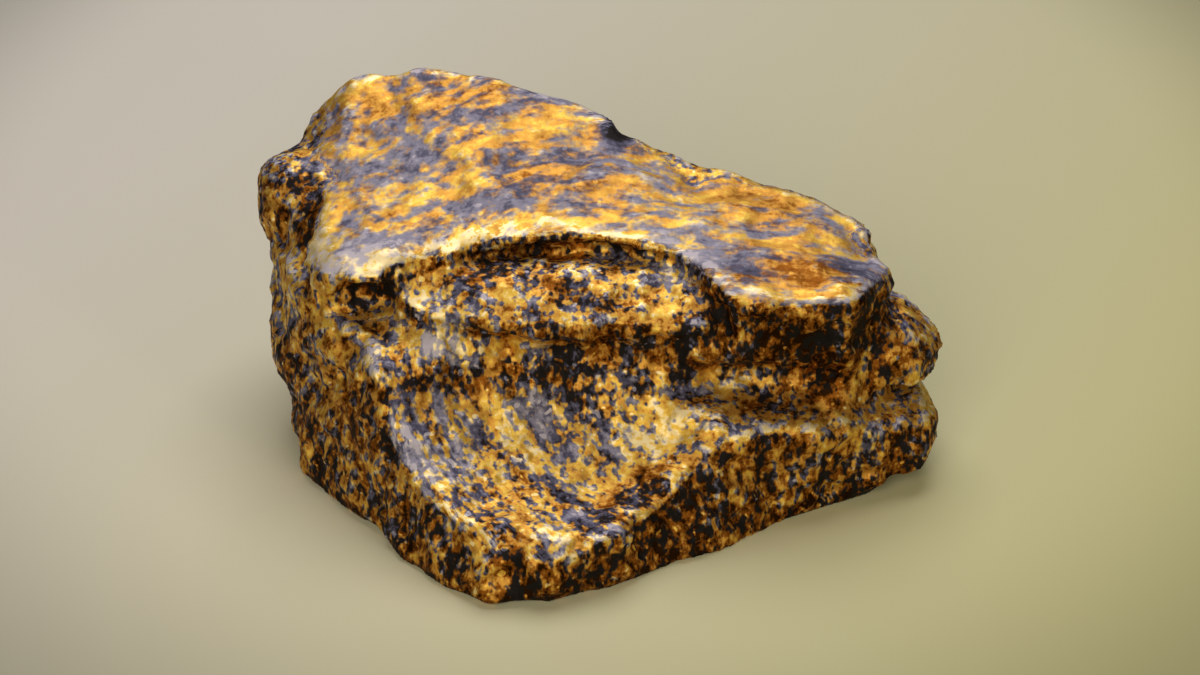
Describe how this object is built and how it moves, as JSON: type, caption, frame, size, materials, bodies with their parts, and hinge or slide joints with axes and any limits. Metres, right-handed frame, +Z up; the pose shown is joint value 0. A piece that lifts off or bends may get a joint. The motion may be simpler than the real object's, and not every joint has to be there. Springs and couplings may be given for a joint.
{
  "type": "native gold nugget",
  "caption": "Natural lump of native gold grown through with dark iron oxide: a sloping worn top, an arched undercut over a ledge, a scooped front and a level worn underside.",
  "frame": {"origin": "centre of the bounding box, at the level underside", "axes": "+X along the lump to the viewer's right, +Y from the scooped front to the broken back, +Z up"},
  "size_m": [0.0616, 0.0482, 0.03],
  "materials": {
    "native_gold": "worn natural metal mottled with dark iron oxide"
  },
  "bodies": {
    "root": {"gold_nugget": "native_gold"}
  },
  "joints": []
}
